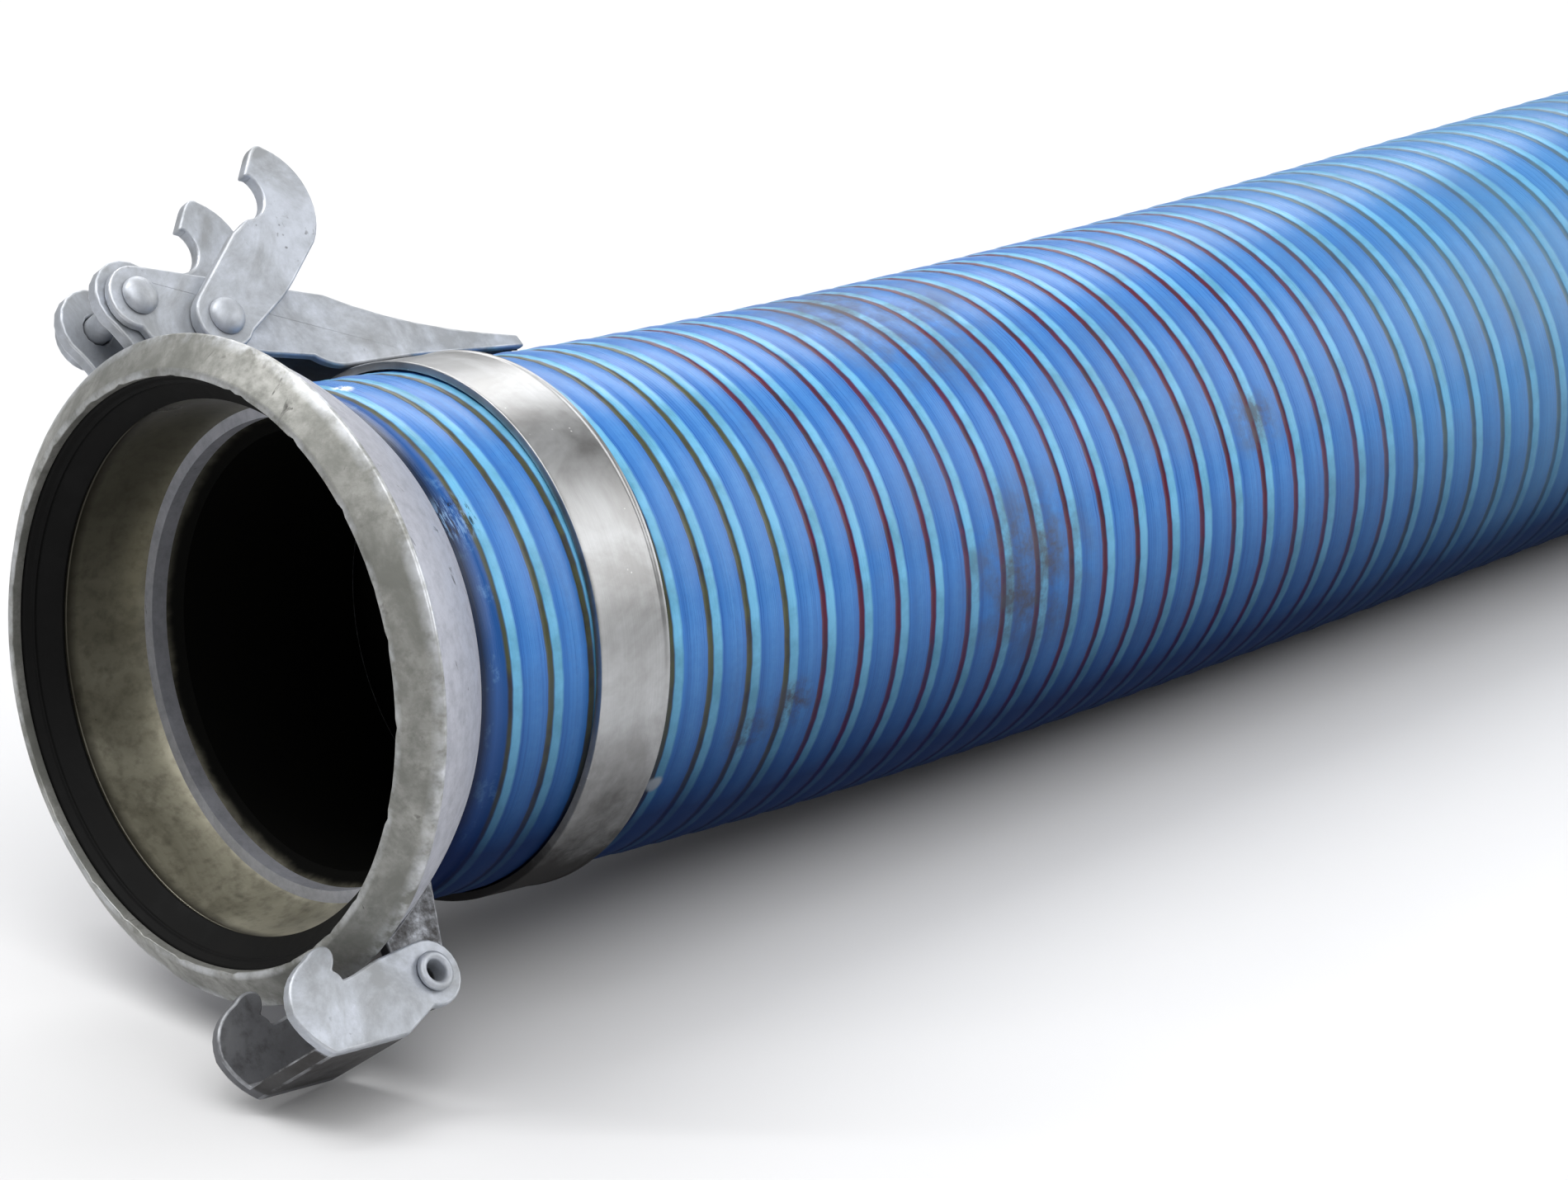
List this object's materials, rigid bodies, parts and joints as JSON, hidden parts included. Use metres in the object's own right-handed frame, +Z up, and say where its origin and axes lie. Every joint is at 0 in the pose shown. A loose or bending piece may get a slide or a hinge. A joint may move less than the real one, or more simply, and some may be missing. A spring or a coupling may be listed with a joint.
{
  "type": "slurry hose",
  "caption": "Blue spiral-ribbed slurry suction hose, 2 m long, with a galvanised lever and hook coupling, a rubber seal and a steel band clamp on one end.",
  "frame": {"origin": "middle of the footprint on the floor", "axes": "+X along the hose from the coupling's mouth to the cut end, +Z up"},
  "size_m": [2.044, 0.3674, 0.2516],
  "materials": {
    "blue_hose": "blue flexible PVC with a light blue rib and a thin dark line round each turn, a little dirt",
    "galvanised_steel": "hot-dip galvanised, mottled, worn bright on the flange's edge",
    "stainless_band": "rolled stainless strap, mottled",
    "black_rubber": "matt black"
  },
  "bodies": {
    "root": {"hose": "blue_hose", "coupling_body": "galvanised_steel", "seal_ring": "black_rubber", "band_clamp": "stainless_band", "lever_lug_near": "galvanised_steel", "lever_lug_far": "galvanised_steel", "lever_rivet": "galvanised_steel", "hook_lug_near": "galvanised_steel", "hook_lug_far": "galvanised_steel", "hook_pin": "galvanised_steel"},
    "lever": {"lever": "galvanised_steel", "hook_rivet": "galvanised_steel"},
    "hooks": {"hook_near": "galvanised_steel", "hook_far": "galvanised_steel"},
    "bottom_hook": {"bottom_hook": "galvanised_steel"}
  },
  "joints": [
    {"name": "lever_swing", "type": "hinge", "parent": "root", "child": "lever", "pos_m": [-0.955, 0.13802, 0.20963], "axis": [0.0747, -0.7944, 0.6028], "range_deg": [0, 95]},
    {"name": "hooks_swing", "type": "hinge", "parent": "lever", "child": "hooks", "pos_m": [-0.93026, 0.13077, 0.197], "axis": [0.0747, -0.7944, 0.6028], "range_deg": [-45, 74]},
    {"name": "bottom_hook_swing", "type": "hinge", "parent": "root", "child": "bottom_hook", "pos_m": [-0.96427, -0.00321, 0.02464], "axis": [0.0747, -0.7944, 0.6028], "range_deg": [0, 110]}
  ]
}
